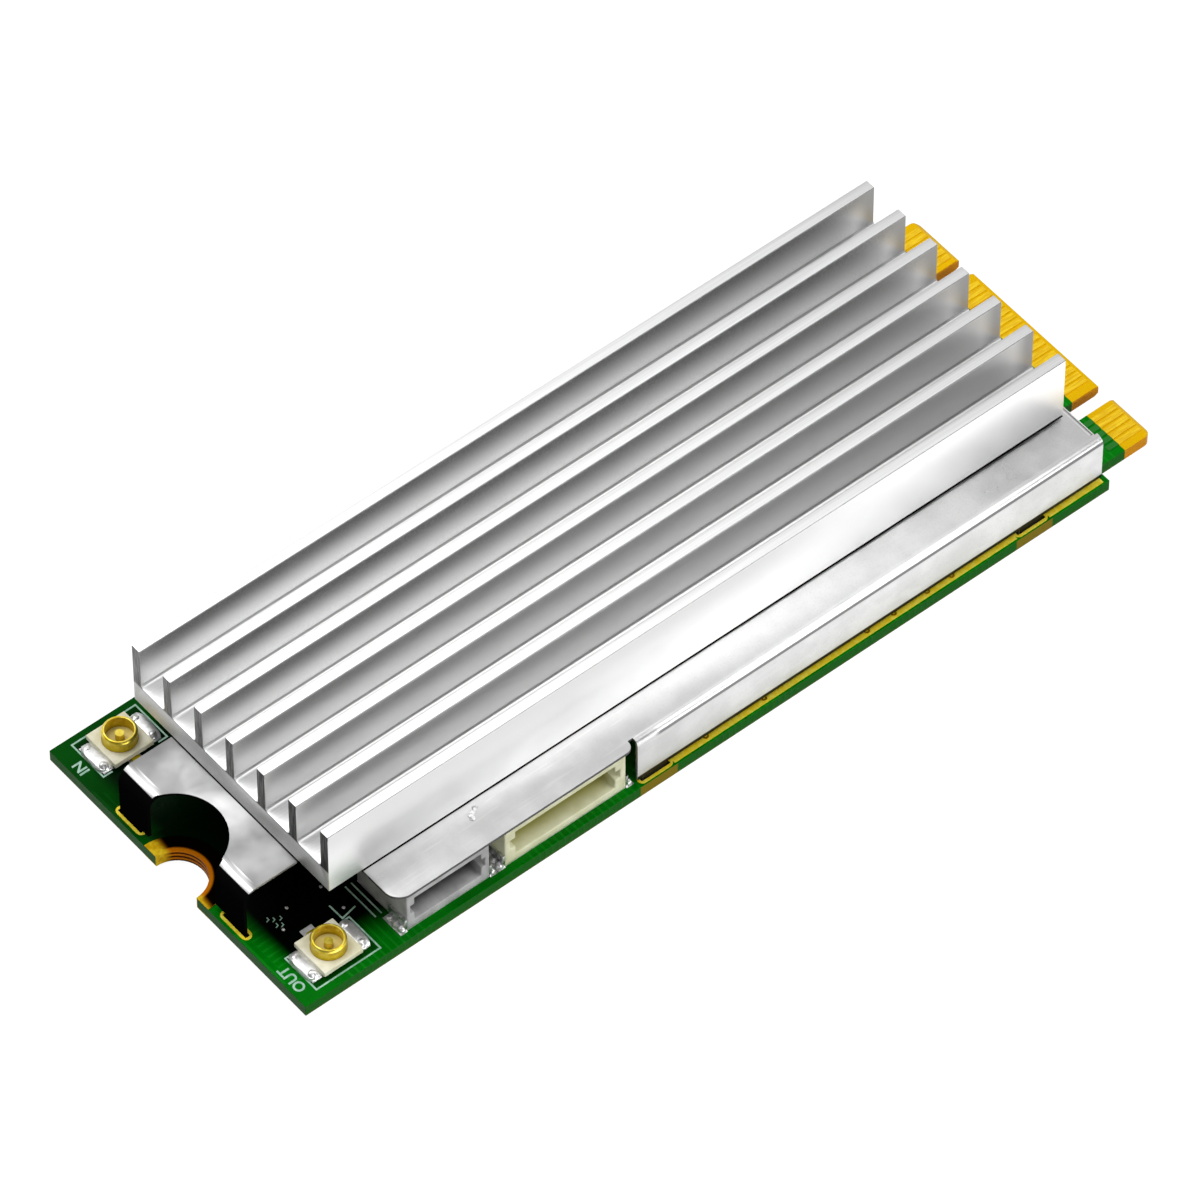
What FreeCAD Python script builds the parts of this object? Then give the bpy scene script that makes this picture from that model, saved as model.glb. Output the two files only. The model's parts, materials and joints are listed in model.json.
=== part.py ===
import FreeCAD, Part
import os
import re
import Sketcher

# Video capture card on a 22 x 60 mm edge-connector board.
# X runs from the screw end to the gold contacts, Y to the left of that way, Z up.
# The origin is under the middle of the card, on the surface it lies on.
# Lengths in the sheet are millimetres. A place along X counts from the screw edge.

SIZES = {
    # Circuit board
    "card_length": 60.0,
    "card_width": 22.0,
    "board_thickness": 0.8,
    "copper": 0.04,
    "tongue_length": 4.0,
    "tongue_width": 19.85,
    "tongue_corner": 0.5,
    "tip_bevel_length": 0.25,
    "tip_bevel_height": 0.15,
    "key_width": 1.2,
    "key_depth": 3.5,
    "key_left": 5.625,
    "key_right": -6.125,
    "screw_radius": 1.75,
    "screw_land_radius": 2.75,
    # Contacts on the edge
    "pin_pitch": 0.5,
    "first_odd_pin": 9.25,
    "first_even_pin": 9.0,
    "contact_width": 0.35,
    "contact_top": 2.4,
    "contact_bottom": 2.0,
    "contact_inset": 0.3,
    # Folded shield
    "shield_top": 4.35,
    "sheet_thickness": 0.2,
    "cover_start": 6.3,
    "cover_margin": 0.35,
    "wall_margin": 0.3,
    "wall_relief": 0.35,
    "wall_bend": 0.45,
    "wall_gap": 0.3,
    "corner_relief": 0.1,
    "flange_margin": 0.15,
    "flange_overhang": 0.3,
    "flange_near_corner": 1.0,
    "flange_far_corner": 0.5,
    "tab_half": 5.35,
    "leg_face": 0.4,
    "leg_bend": 0.95,
    "screw_clearance": 2.92,
    # Slots that the shield's feet stand in
    "slot_width": 0.3,
    "slot_length": 2.0,
    "slot_ring": 0.17,
    "foot_width": 1.7,
    "foot_depth": 0.5,
    "near_slot_setback": 1.25,
    "far_slot_margin": 5.4,
    "end_slot_middle": 4.5,
    "strip_width": 0.38,
    "strip_margin": 0.31,
    # Finned heatsink
    "sink_start": 4.0,
    "sink_margin": 1.0,
    "sink_middle": 0.22,
    "sink_base": 1.6,
    "fin_height": 3.0,
    "fin_thickness": 0.67,
    "fin_pitch": 2.66,
    "fin_root": 0.2,
    "tape_thickness": 0.15,
    "tape_setback": 0.3,
    "tape_margin": 0.3,
    # Coaxial jacks
    "jack_along": 3.2,
    "jack_margin": 2.05,
    "jack_square": 2.6,
    "jack_lead": 0.15,
    "jack_lead_span": 3.4,
    "jack_lead_width": 1.8,
    "jack_floor": 0.35,
    "jack_ring_outer": 1.0,
    "jack_ring_inner": 0.8,
    "jack_ring_waist": 0.9,
    "jack_height": 1.25,
    "jack_pin_radius": 0.25,
    "jack_pin_height": 0.95,
    "jack_signal_hole": 0.55,
    "jack_signal_lead": 0.5,
    "jack_signal_reach": 1.6,
    "jack_land_length": 0.95,
    "jack_land_width": 2.2,
    "jack_signal_land": 0.8,
    # Side-entry headers
    "header_margin": 0.5,
    "header_depth": 4.25,
    "header_height": 3.2,
    "header_roof": 0.85,
    "header_floor": 0.5,
    "header_cavity": 2.9,
    "header_key_low": 1.15,
    "header_key_high": 1.85,
    "header_key_reach": 1.6,
    "small_header_start": 7.25,
    "small_header_length": 5.6,
    "small_header_wall": 0.55,
    "header_gap": 1.05,
    "large_header_length": 8.3,
    "large_header_wall": 0.75,
    "terminal_pitch": 1.0,
    "terminal_width": 0.3,
    "terminal_thickness": 0.2,
    "terminal_reach": 2.2,
    "terminal_level": 1.3,
    "terminal_tail": 0.7,
    "hold_down_width": 0.35,
    "hold_down_length": 1.4,
    "hold_down_thickness": 0.15,
    "hold_down_rise": 0.9,
    "land_margin": 0.15,
    # Parts soldered under the shield
    "layout_step": 0.5,
    "capture_side": 11.0,
    "capture_height": 1.5,
    "memory_length": 7.5,
    "memory_width": 11.0,
    "memory_height": 1.1,
    "receiver_side": 7.0,
    "driver_side": 5.0,
    "flat_chip_height": 0.9,
    "flash_length": 5.2,
    "flash_width": 5.4,
    "crystal_length": 3.2,
    "crystal_width": 2.5,
    "crystal_height": 0.75,
    "inductor_side": 3.0,
    "inductor_height": 1.6,
    "regulator_side": 2.0,
    "capacitor_length": 1.6,
    "capacitor_width": 0.8,
    "resistor_length": 1.0,
    "resistor_width": 0.5,
    "resistor_height": 0.35,
    "pad_margin": 0.5,
}

# Places that follow from the card, the shield and the headers.
BOARD_TOP = "board_thickness"
LAND_TOP = "(board_thickness + copper)"
SHOULDER = "(card_length - tongue_length)"
COVER_END = f"({SHOULDER} - cover_margin)"
SINK_END = f"({SHOULDER} - sink_margin)"
WALL_FACE = "(card_width / 2 - wall_margin)"
BEND_LINE = f"({WALL_FACE} - wall_bend)"
SIDE_RELIEF = f"({BEND_LINE} - corner_relief)"
END_WALL = f"({SIDE_RELIEF} - corner_relief)"
FLANGE_EDGE = "(card_width / 2 - flange_margin)"
STRIP_MIDDLE = "(card_width / 2 - strip_margin)"
JACK_SIDE = "(card_width / 2 - jack_margin)"
HEADER_FRONT = "(card_width / 2 - header_margin)"
LARGE_HEADER_START = "(small_header_start + small_header_length + header_gap)"
FLANGE_END = f"({LARGE_HEADER_START} + large_header_length + flange_overhang)"
WALL_START = f"({FLANGE_END} + wall_relief)"
NEAR_SLOT = f"({WALL_START} + near_slot_setback)"
FAR_SLOT = f"({SHOULDER} - far_slot_margin)"

# Pins are numbered from the left, odd ones on top, and two spans give way to the keys.
LAST_PIN = 75
TOP_PINS = range(1, LAST_PIN + 1, 2)
BOTTOM_PINS = range(2, LAST_PIN, 2)
KEYED_OUT = set(range(12, 20)) | set(range(59, 67))
FIN_COUNT = 7
SMALL_HEADER_WAYS = 4
LARGE_HEADER_WAYS = 6
SAME_PLACE = 1e-4

# Each header's start, length, side wall and number of terminals.
HEADERS = {
    "small_header": ("small_header_start", "small_header_length", "small_header_wall", SMALL_HEADER_WAYS),
    "large_header": (LARGE_HEADER_START, "large_header_length", "large_header_wall", LARGE_HEADER_WAYS),
}

# Chips under the shield: length, width and height, then steps along X and along Y.
CHIPS = {
    "capture_chip": ("capture_side", "capture_side", "capture_height", 48, 3),
    "memory_chip": ("memory_length", "memory_width", "memory_height", 70, 3),
    "receiver_chip": ("receiver_side", "receiver_side", "flat_chip_height", 24, 11),
    "driver_chip": ("driver_side", "driver_side", "flat_chip_height", 24, -3),
    "flash_chip": ("flash_length", "flash_width", "flat_chip_height", 90, -6),
    "clock_crystal": ("crystal_length", "crystal_width", "crystal_height", 90, 4),
}
PADDED_CHIPS = ("capture_chip", "memory_chip")

# Small parts in the same manner, each kind with all its places.
SMALL_PARTS = {
    "power_inductors": ("inductor_side", "inductor_side", "inductor_height", (
        (56, -15), (66, -15), (90, 14))),
    "regulator_chips": ("regulator_side", "regulator_side", "flat_chip_height", (
        (74, -15), (81, -15), (81, 16))),
    "ceramic_capacitors": ("capacitor_length", "capacitor_width", "capacitor_width", (
        (33, -6), (33, -2), (33, 1), (39, 17), (45, 17), (51, 17), (57, 17), (65, 17), (72, 17),
        (81, 10), (81, 5), (81, 0), (81, -5), (88, -15), (94, -15))),
    "chip_resistors": ("resistor_length", "resistor_width", "resistor_height", (
        (34, 17), (48, -11), (54, -11), (61, -11), (66, -11), (72, -11), (77, -11), (81, -9))),
}

doc = FreeCAD.newDocument("capture_card")
sheet = doc.addObject("Spreadsheet::Sheet", "sizes")
kept = {}


def fill_sheet():
    for row, (word, number) in enumerate(SIZES.items(), 1):
        sheet.set(f"A{row}", word)
        sheet.set(f"B{row}", str(number))
        sheet.setAlias(f"B{row}", word)
    doc.recompute()


def cells(text):
    return re.sub(r"[a-z][a-z_]*", lambda word: "sizes." + word.group(0), str(text))


def value(text):
    return float(sheet.evalExpression(cells(text)))


def bind(thing, path, text):
    thing.setExpression(path, cells(text))


def place(thing, *corner):
    for axis, text in zip("xyz", corner):
        bind(thing, f"Placement.Base.{axis}", text)


def keep(name, thing):
    thing.Label = name
    kept[name] = thing
    return thing


# The card reaches half its length to each side of the origin.
def along(text):
    return f"({text}) - card_length / 2"


def block(name, length, width, height, middle_x, middle_y, bottom):
    solid = doc.addObject("Part::Box", name)
    for path, text in (("Length", length), ("Width", width), ("Height", height)):
        bind(solid, path, text)
    place(solid, f"{middle_x} - ({length}) / 2", f"{middle_y} - ({width}) / 2", bottom)
    return solid


def rod(name, radius, height, middle_x, middle_y, bottom):
    solid = doc.addObject("Part::Cylinder", name)
    bind(solid, "Radius", radius)
    bind(solid, "Height", height)
    place(solid, middle_x, middle_y, bottom)
    return solid


def joined(name, parts):
    solid = doc.addObject("Part::MultiFuse", name)
    solid.Shapes = parts
    return solid


def cut(name, base, tool):
    solid = doc.addObject("Part::Cut", name)
    solid.Base = base
    solid.Tool = tool
    return solid


def group(name, parts):
    bundle = doc.addObject("Part::Compound", name)
    bundle.Links = parts
    return keep(name, bundle)


# A plate with round ends, long way along X or Y.
def round_ended(name, length, width, height, middle_x, middle_y, bottom, long_way):
    straight = f"({length}) - ({width})"
    half = f"(({length}) - ({width})) / 2"
    if long_way == "x":
        middle = block(name + "_middle", straight, width, height, middle_x, middle_y, bottom)
        ends = ((f"{middle_x} - {half}", middle_y), (f"{middle_x} + {half}", middle_y))
    else:
        middle = block(name + "_middle", width, straight, height, middle_x, middle_y, bottom)
        ends = ((middle_x, f"{middle_y} - {half}"), (middle_x, f"{middle_y} + {half}"))
    rods = [rod(f"{name}_end{k}", f"({width}) / 2", height, x, y, bottom)
            for k, (x, y) in enumerate(ends)]
    return joined(name, [middle] + rods)


def new_body(name):
    return doc.addObject("PartDesign::Body", name)


def sketch(body, name, role):
    drawing = body.newObject("Sketcher::SketchObject", name)
    plane = next(item for item in body.Origin.OriginFeatures if item.Role == role)
    drawing.AttachmentSupport = [(plane, "")]
    drawing.MapMode = "FlatFace"
    return drawing


def pin_down(drawing, geometry, point, across, up):
    for kind, text in (("DistanceX", across), ("DistanceY", up)):
        number = drawing.addConstraint(Sketcher.Constraint(kind, -1, 1, geometry, point, value(text)))
        drawing.setExpression(f"Constraints[{number}]", cells(text))


def outline(drawing, corners):
    first = drawing.GeometryCount
    points = [FreeCAD.Vector(value(across), value(up), 0) for across, up in corners]
    for start, end in zip(points, points[1:] + points[:1]):
        drawing.addGeometry(Part.LineSegment(start, end))
    for k in range(len(points)):
        following = first + (k + 1) % len(points)
        drawing.addConstraint(Sketcher.Constraint("Coincident", first + k, 2, following, 1))
    for k, (across, up) in enumerate(corners):
        pin_down(drawing, first + k, 1, across, up)


def rectangle(drawing, left, right, low, high):
    outline(drawing, ((left, low), (right, low), (right, high), (left, high)))


def circle(drawing, across, up, radius):
    centre = FreeCAD.Vector(value(across), value(up), 0)
    ring = drawing.addGeometry(Part.Circle(centre, FreeCAD.Vector(0, 0, 1), value(radius)))
    pin_down(drawing, ring, 3, across, up)
    number = drawing.addConstraint(Sketcher.Constraint("Radius", ring, value(radius)))
    drawing.setExpression(f"Constraints[{number}]", cells(radius))


def pad(body, name, profile, length):
    feature = body.newObject("PartDesign::Pad", name)
    feature.Profile = profile
    bind(feature, "Length", length)
    doc.recompute()


def pocket(body, name, profile):
    before = body.Shape.Volume
    feature = body.newObject("PartDesign::Pocket", name)
    feature.Profile = profile
    feature.Type = "ThroughAll"
    feature.Midplane = True
    check_cut(body, name, before)


def deep_pocket(body, name, profile, depth, upward=False):
    before = body.Shape.Volume
    feature = body.newObject("PartDesign::Pocket", name)
    feature.Profile = profile
    feature.Reversed = upward
    bind(feature, "Length", depth)
    check_cut(body, name, before)


def check_cut(body, name, before):
    doc.recompute()
    if body.Shape.Volume >= before:
        raise ValueError(f"{name} cuts nothing")


def round_edges(body, name, radius, wanted):
    base = body.Tip
    names = [f"Edge{k}" for k, edge in enumerate(base.Shape.Edges, 1) if wanted(edge)]
    if not names:
        raise ValueError(f"{name} finds no edge")
    feature = body.newObject("PartDesign::Fillet", name)
    feature.Base = (base, names)
    bind(feature, "Radius", radius)
    doc.recompute()


# True for an edge whose two ends match every given coordinate.
def edge_at(**wanted):
    def test(edge):
        ends = [vertex.Point for vertex in edge.Vertexes]
        close = [abs(getattr(point, axis) - at) < SAME_PLACE
                 for point in ends for axis, at in wanted.items()]
        return len(ends) == 2 and all(close)
    return test


def either(*tests):
    return lambda edge: any(test(edge) for test in tests)


def circuit_board():
    body = new_body("board_blank")
    near = along("0")
    shoulder = along(SHOULDER)
    tip = along("card_length")
    half = "card_width / 2"
    tongue = "tongue_width / 2"
    drawing = sketch(body, "board_outline", "XY_Plane")
    outline(drawing, (
        (near, f"-{half}"), (shoulder, f"-{half}"), (shoulder, f"-{tongue}"), (tip, f"-{tongue}"),
        (tip, tongue), (shoulder, tongue), (shoulder, half), (near, half)))
    pad(body, "board_plate", drawing, "board_thickness")

    corner = value("card_length / 2")
    side = value(tongue)
    round_edges(body, "tongue_corners", "tongue_corner",
                either(edge_at(x=corner, y=side), edge_at(x=corner, y=-side)))

    bevels = sketch(body, "tip_bevels", "XZ_Plane")
    back = along("card_length - tip_bevel_length")
    outline(bevels, ((back, "0"), (tip, "0"), (tip, "tip_bevel_height")))
    outline(bevels, ((back, BOARD_TOP), (tip, BOARD_TOP), (tip, f"{BOARD_TOP} - tip_bevel_height")))
    pocket(body, "bevelled_tip", bevels)

    keys = sketch(body, "key_sides", "XY_Plane")
    rounds = sketch(body, "key_ends", "XY_Plane")
    for key in ("key_left", "key_right"):
        root = along("card_length - key_depth + key_width / 2")
        rectangle(keys, root, along("card_length + key_width"),
                  f"{key} - key_width / 2", f"{key} + key_width / 2")
        circle(rounds, root, key, "key_width / 2")
    pocket(body, "keys", keys)
    pocket(body, "key_roots", rounds)

    screw = sketch(body, "screw_notch_round", "XY_Plane")
    circle(screw, near, "0", "screw_radius + copper")
    pocket(body, "screw_notch", screw)

    slots = sketch(body, "foot_slots", "XY_Plane")
    for x, y, long_way in slot_places():
        long_half = "slot_length / 2"
        short_half = "slot_width / 2"
        dx, dy = (long_half, short_half) if long_way == "x" else (short_half, long_half)
        rectangle(slots, f"{x} - {dx}", f"{x} + {dx}", f"{y} - {dy}", f"{y} + {dy}")
    pocket(body, "slots", slots)

    # The lower contacts and the lower land lie flush in the underside.
    beds = doc.addObject("Part::Compound", "underside_beds")
    beds.Links = contact_blocks("contact_bed", BOTTOM_PINS, "first_even_pin", "contact_bottom", "0")
    beds.Links += [rod("land_bed", "screw_land_radius", "copper", near, "0", "0")]
    keep("circuit_board", cut("bedded_board", body, beds))


# Middle of each slot and the way that it runs.
def slot_places():
    leg = along("leg_face + sheet_thickness / 2")
    side = f"({WALL_FACE} - sheet_thickness / 2)"
    places = [(leg, sign + "end_slot_middle", "y") for sign in ("-", "")]
    for spot in (NEAR_SLOT, FAR_SLOT):
        places += [(along(spot), sign + side, "x") for sign in ("-", "")]
    return places


def slot_plating():
    rings = []
    for k, (x, y, long_way) in enumerate(slot_places()):
        outer = round_ended(f"slot_land{k}", "slot_length + 2 * slot_ring", "slot_width + 2 * slot_ring",
                            "copper", x, y, BOARD_TOP, long_way)
        size = ("slot_length", "slot_width") if long_way == "x" else ("slot_width", "slot_length")
        hole = block(f"slot_opening{k}", *size, "3 * copper", x, y, f"{BOARD_TOP} - copper")
        rings.append(cut(f"slot_ring{k}", outer, hole))
    group("shield_slot_plating", rings)


def ground_strips():
    ring_half = "slot_length / 2 + slot_ring"
    spans = (
        (f"{NEAR_SLOT} + {ring_half}", f"{FAR_SLOT} - ({ring_half})"),
        (f"{FAR_SLOT} + {ring_half}", COVER_END),
    )
    strips = []
    for sign in ("-", ""):
        for start, end in spans:
            strips.append(block(f"strip{len(strips)}", f"({end}) - ({start})", "strip_width", "copper",
                                along(f"(({start}) + ({end})) / 2"), f"{sign}{STRIP_MIDDLE}", BOARD_TOP))
    group("ground_strips", strips)


# One row of blocks at the places of the given pins, which lie half a pitch apart.
def contact_blocks(name, pins, first_place, length, bottom):
    x = along(f"card_length - contact_inset - {length} / 2")
    return [block(f"{name}{pin}", length, "contact_width", "copper",
                  x, f"{first_place} - {pin - pins[0]} * pin_pitch / 2", bottom)
            for pin in pins if pin not in KEYED_OUT]


# The plated land round the screw notch: both faces and the wall of the notch.
def screw_pad():
    body = keep("screw_pad", new_body("screw_pad"))
    place(body, along("0"), "0", "0")
    drawing = sketch(body, "land_section", "XZ_Plane")
    inner = "screw_radius"
    wall = "screw_radius + copper"
    outer = "screw_land_radius"
    outline(drawing, (
        (inner, "0"), (outer, "0"), (outer, "copper"), (wall, "copper"),
        (wall, BOARD_TOP), (outer, BOARD_TOP), (outer, LAND_TOP), (inner, LAND_TOP)))
    turned = body.newObject("PartDesign::Revolution", "land")
    turned.Profile = drawing
    turned.ReferenceAxis = (drawing, ["V_Axis"])
    turned.Angle = 180
    turned.Midplane = True
    doc.recompute()


def shield():
    body = keep("shield", new_body("shield"))
    sheet_bottom = "(shield_top - sheet_thickness)"
    top = sketch(body, "cover_outline", "XY_Plane")
    bend = f"({COVER_END} - wall_bend)"
    outline(top, (
        (along("leg_face"), "-tab_half"),
        (along("cover_start"), "-tab_half"),
        (along("cover_start"), f"-{FLANGE_EDGE}"),
        (along(FLANGE_END), f"-{FLANGE_EDGE}"),
        (along(FLANGE_END), f"-{BEND_LINE}"),
        (along(WALL_START), f"-{BEND_LINE}"),
        (along(WALL_START), f"-{WALL_FACE}"),
        (along(COVER_END), f"-{WALL_FACE}"),
        (along(COVER_END), f"-{SIDE_RELIEF}"),
        (along(bend), f"-{SIDE_RELIEF}"),
        (along(bend), f"-{END_WALL}"),
        (along(COVER_END), f"-{END_WALL}"),
        (along(COVER_END), END_WALL),
        (along(bend), END_WALL),
        (along(bend), SIDE_RELIEF),
        (along(COVER_END), SIDE_RELIEF),
        (along(COVER_END), WALL_FACE),
        (along("cover_start"), WALL_FACE),
        (along("cover_start"), "tab_half"),
        (along("leg_face"), "tab_half"),
    ))
    raise_sketch(top, sheet_bottom)
    pad(body, "cover", top, "sheet_thickness")

    low = f"({BOARD_TOP} + wall_gap)"
    walls = sketch(body, "wall_plan", "XY_Plane")
    inside = f"({WALL_FACE} - sheet_thickness)"
    end_inside = f"({COVER_END} - sheet_thickness)"
    leg_inside = "(leg_face + sheet_thickness)"
    rectangle(walls, along(WALL_START), along(COVER_END), f"-{WALL_FACE}", f"-{inside}")
    rectangle(walls, along("cover_start"), along(COVER_END), inside, WALL_FACE)
    rectangle(walls, along(end_inside), along(COVER_END), f"-{END_WALL}", END_WALL)
    rectangle(walls, along("leg_face"), along(leg_inside), "-tab_half", "tab_half")
    raise_sketch(walls, low)
    pad(body, "walls", walls, f"{sheet_bottom} - {low}")

    feet = sketch(body, "foot_plan", "XY_Plane")
    for x, y, long_way in slot_places():
        long_half = "foot_width / 2"
        short_half = "sheet_thickness / 2"
        dx, dy = (long_half, short_half) if long_way == "x" else (short_half, long_half)
        rectangle(feet, f"{x} - {dx}", f"{x} + {dx}", f"{y} - {dy}", f"{y} + {dy}")
    raise_sketch(feet, f"{BOARD_TOP} - foot_depth")
    pad(body, "feet", feet, "foot_depth + wall_gap")

    screw = sketch(body, "screw_room", "XY_Plane")
    circle(screw, along("0"), "0", "screw_clearance")
    pocket(body, "screw_cut_out", screw)
    round_bends(body, sheet_bottom, (inside, end_inside, leg_inside))
    flange = value(FLANGE_EDGE)
    round_edges(body, "flange_near_round", "flange_near_corner",
                edge_at(x=value(along("cover_start")), y=-flange))
    round_edges(body, "flange_far_round", "flange_far_corner",
                edge_at(x=value(along(FLANGE_END)), y=-flange))


def raise_sketch(drawing, height):
    lifted = FreeCAD.Vector(0, 0, value(height))
    drawing.AttachmentOffset = FreeCAD.Placement(lifted, FreeCAD.Rotation())
    bind(drawing, "AttachmentOffset.Base.z", height)


# Each bend has its outer round and, one sheet thickness in, its inner round.
def round_bends(body, sheet_bottom, linings):
    high = value("shield_top")
    under = value(sheet_bottom)
    face = value(WALL_FACE)
    end = value(along(COVER_END))
    leg = value(along("leg_face"))
    lining = value(linings[0])
    end_lining = value(along(linings[1]))
    leg_lining = value(along(linings[2]))
    end_bend = edge_at(x=end, z=high)
    round_edges(body, "wall_bends", "wall_bend",
                either(edge_at(y=face, z=high), edge_at(y=-face, z=high),
                       lambda edge: end_bend(edge) and edge.Length > face))
    round_edges(body, "wall_bend_linings", "wall_bend - sheet_thickness",
                either(edge_at(y=lining, z=under), edge_at(y=-lining, z=under),
                       edge_at(x=end_lining, z=under)))
    round_edges(body, "leg_bends", "leg_bend", edge_at(x=leg, z=high))
    round_edges(body, "leg_bend_linings", "leg_bend - sheet_thickness", edge_at(x=leg_lining, z=under))


def heatsink():
    body = keep("heatsink", new_body("heatsink"))
    bottom = "shield_top + tape_thickness"
    place(body, along("sink_start"), "sink_middle", bottom)
    half = f"({FIN_COUNT - 1} * fin_pitch + fin_thickness) / 2"
    crest = "sink_base + fin_height"
    corners = [(f"-{half}", "0"), (half, "0")]
    for fin in reversed(range(FIN_COUNT)):
        left = f"{fin} * fin_pitch - {half}"
        right = f"{fin} * fin_pitch + fin_thickness - {half}"
        corners += [(right, "sink_base"), (right, crest), (left, crest), (left, "sink_base")]
    # The outer fins run down the sides of the base, so their feet are no corners.
    corners = corners[:2] + corners[3:-1]
    drawing = sketch(body, "fin_section", "YZ_Plane")
    outline(drawing, corners)
    pad(body, "extrusion", drawing, f"{SINK_END} - sink_start")
    floor = edge_at(z=value("sink_base"))
    round_edges(body, "fin_roots", "fin_root",
                lambda edge: floor(edge) and edge.BoundBox.XLength > SAME_PLACE)


def heatsink_tape():
    width = f"{FIN_COUNT - 1} * fin_pitch + fin_thickness - 2 * tape_margin"
    start = "(cover_start + tape_setback)"
    end = f"({SINK_END} - tape_margin)"
    keep("heatsink_tape", block("heatsink_tape", f"{end} - {start}", width, "tape_thickness",
                                along(f"({start} + {end}) / 2"), "sink_middle", "shield_top"))


def step(count):
    return f"{count} * layout_step"


def chips():
    for name, (length, width, height, x, y) in CHIPS.items():
        keep(name, block(name, length, width, height, along(step(x)), step(y), BOARD_TOP))


# Soft pads that carry heat from a chip up to the shield.
def thermal_pads():
    for name in PADDED_CHIPS:
        length, width, height, x, y = CHIPS[name]
        pad_name = name + "_heat_pad"
        keep(pad_name, block(pad_name, f"{length} - pad_margin", f"{width} - pad_margin",
                             f"shield_top - sheet_thickness - ({BOARD_TOP} + {height})",
                             along(step(x)), step(y), f"{BOARD_TOP} + {height}"))


def small_parts():
    for name, (length, width, height, places) in SMALL_PARTS.items():
        group(name, [block(f"{name}_{k}", length, width, height, along(step(x)), step(y), BOARD_TOP)
                     for k, (x, y) in enumerate(places)])


# A coaxial board jack. Its signal lead points to the middle of the card.
def jack(name, side):
    x = along("jack_along")
    y = f"{side}{JACK_SIDE}"
    inward = "+" if side == "-" else "-"
    floor = f"{LAND_TOP} + jack_lead"

    shell = keep(f"{name}_shell", new_body(f"{name}_shell"))
    place(shell, x, y, LAND_TOP)
    plate = sketch(shell, f"{name}_lead_plan", "XY_Plane")
    rectangle(plate, "-jack_lead_span / 2", "jack_lead_span / 2",
              "-jack_lead_width / 2", "jack_lead_width / 2")
    pad(shell, f"{name}_leads", plate, "jack_lead")
    section = sketch(shell, f"{name}_ring_section", "XZ_Plane")
    lip = "(jack_height + jack_lead + jack_floor) / 2"
    outline(section, (
        ("jack_ring_inner", "jack_lead"), ("jack_ring_outer", "jack_lead"),
        ("jack_ring_outer", "jack_lead + jack_floor"), ("jack_ring_waist", lip),
        ("jack_ring_outer", "jack_height - jack_lead"), ("jack_ring_waist", "jack_height"),
        ("jack_ring_inner", "jack_height")))
    ring = shell.newObject("PartDesign::Revolution", f"{name}_ring")
    ring.Profile = section
    ring.ReferenceAxis = (section, ["V_Axis"])
    ring.Angle = 360
    doc.recompute()
    hole = sketch(shell, f"{name}_signal_hole", "XY_Plane")
    circle(hole, "0", "0", "jack_signal_hole")
    pocket(shell, f"{name}_signal_room", hole)
    gate = sketch(shell, f"{name}_signal_gate", "XY_Plane")
    reach = f"{inward}jack_signal_reach" if inward == "-" else "jack_signal_reach"
    low, high = (reach, "0") if inward == "-" else ("0", reach)
    rectangle(gate, "-jack_signal_lead", "jack_signal_lead", low, high)
    deep_pocket(shell, f"{name}_signal_way", gate, "jack_lead", upward=True)

    square = block(f"{name}_square", "jack_square", "jack_square", "jack_floor", x, y, floor)
    ring_room = cut(f"{name}_ring_room",
                    rod(f"{name}_ring_outside", "jack_ring_outer", "jack_floor", x, y, floor),
                    rod(f"{name}_ring_inside", "jack_ring_inner", "jack_floor", x, y, floor))
    pin_room = rod(f"{name}_pin_room", "jack_pin_radius", "jack_floor", x, y, floor)
    moulding = cut(f"{name}_moulding", cut(f"{name}_ringed", square, ring_room), pin_room)
    keep(f"{name}_insulator", moulding)

    stem = rod(f"{name}_stem", "jack_pin_radius", "jack_pin_height", x, y, LAND_TOP)
    lead = block(f"{name}_lead", "jack_signal_lead", "jack_signal_reach", "jack_lead",
                 x, f"{y} {inward} jack_signal_reach / 2", LAND_TOP)
    keep(f"{name}_pin", joined(f"{name}_contact", [stem, lead]))


# Tinned lands that the two jacks are soldered to.
def jack_lands():
    lands = []
    for side, inward in (("-", "+"), ("", "-")):
        y = f"{side}{JACK_SIDE}"
        for end in ("-", "+"):
            x = along(f"jack_along {end} (jack_lead_span - jack_land_length / 2) / 2")
            lands.append(block(f"jack_land{len(lands)}", "jack_land_length", "jack_land_width", "copper",
                               x, y, BOARD_TOP))
        lands.append(block(f"jack_land{len(lands)}", "jack_signal_land", "jack_signal_land", "copper",
                           along("jack_along"), f"{y} {inward} jack_signal_reach", BOARD_TOP))
    group("jack_lands", lands)


def terminal_place(start, length, ways, k):
    return along(f"{start} + {length} / 2 + ({k} - {ways - 1} / 2) * terminal_pitch")


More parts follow.
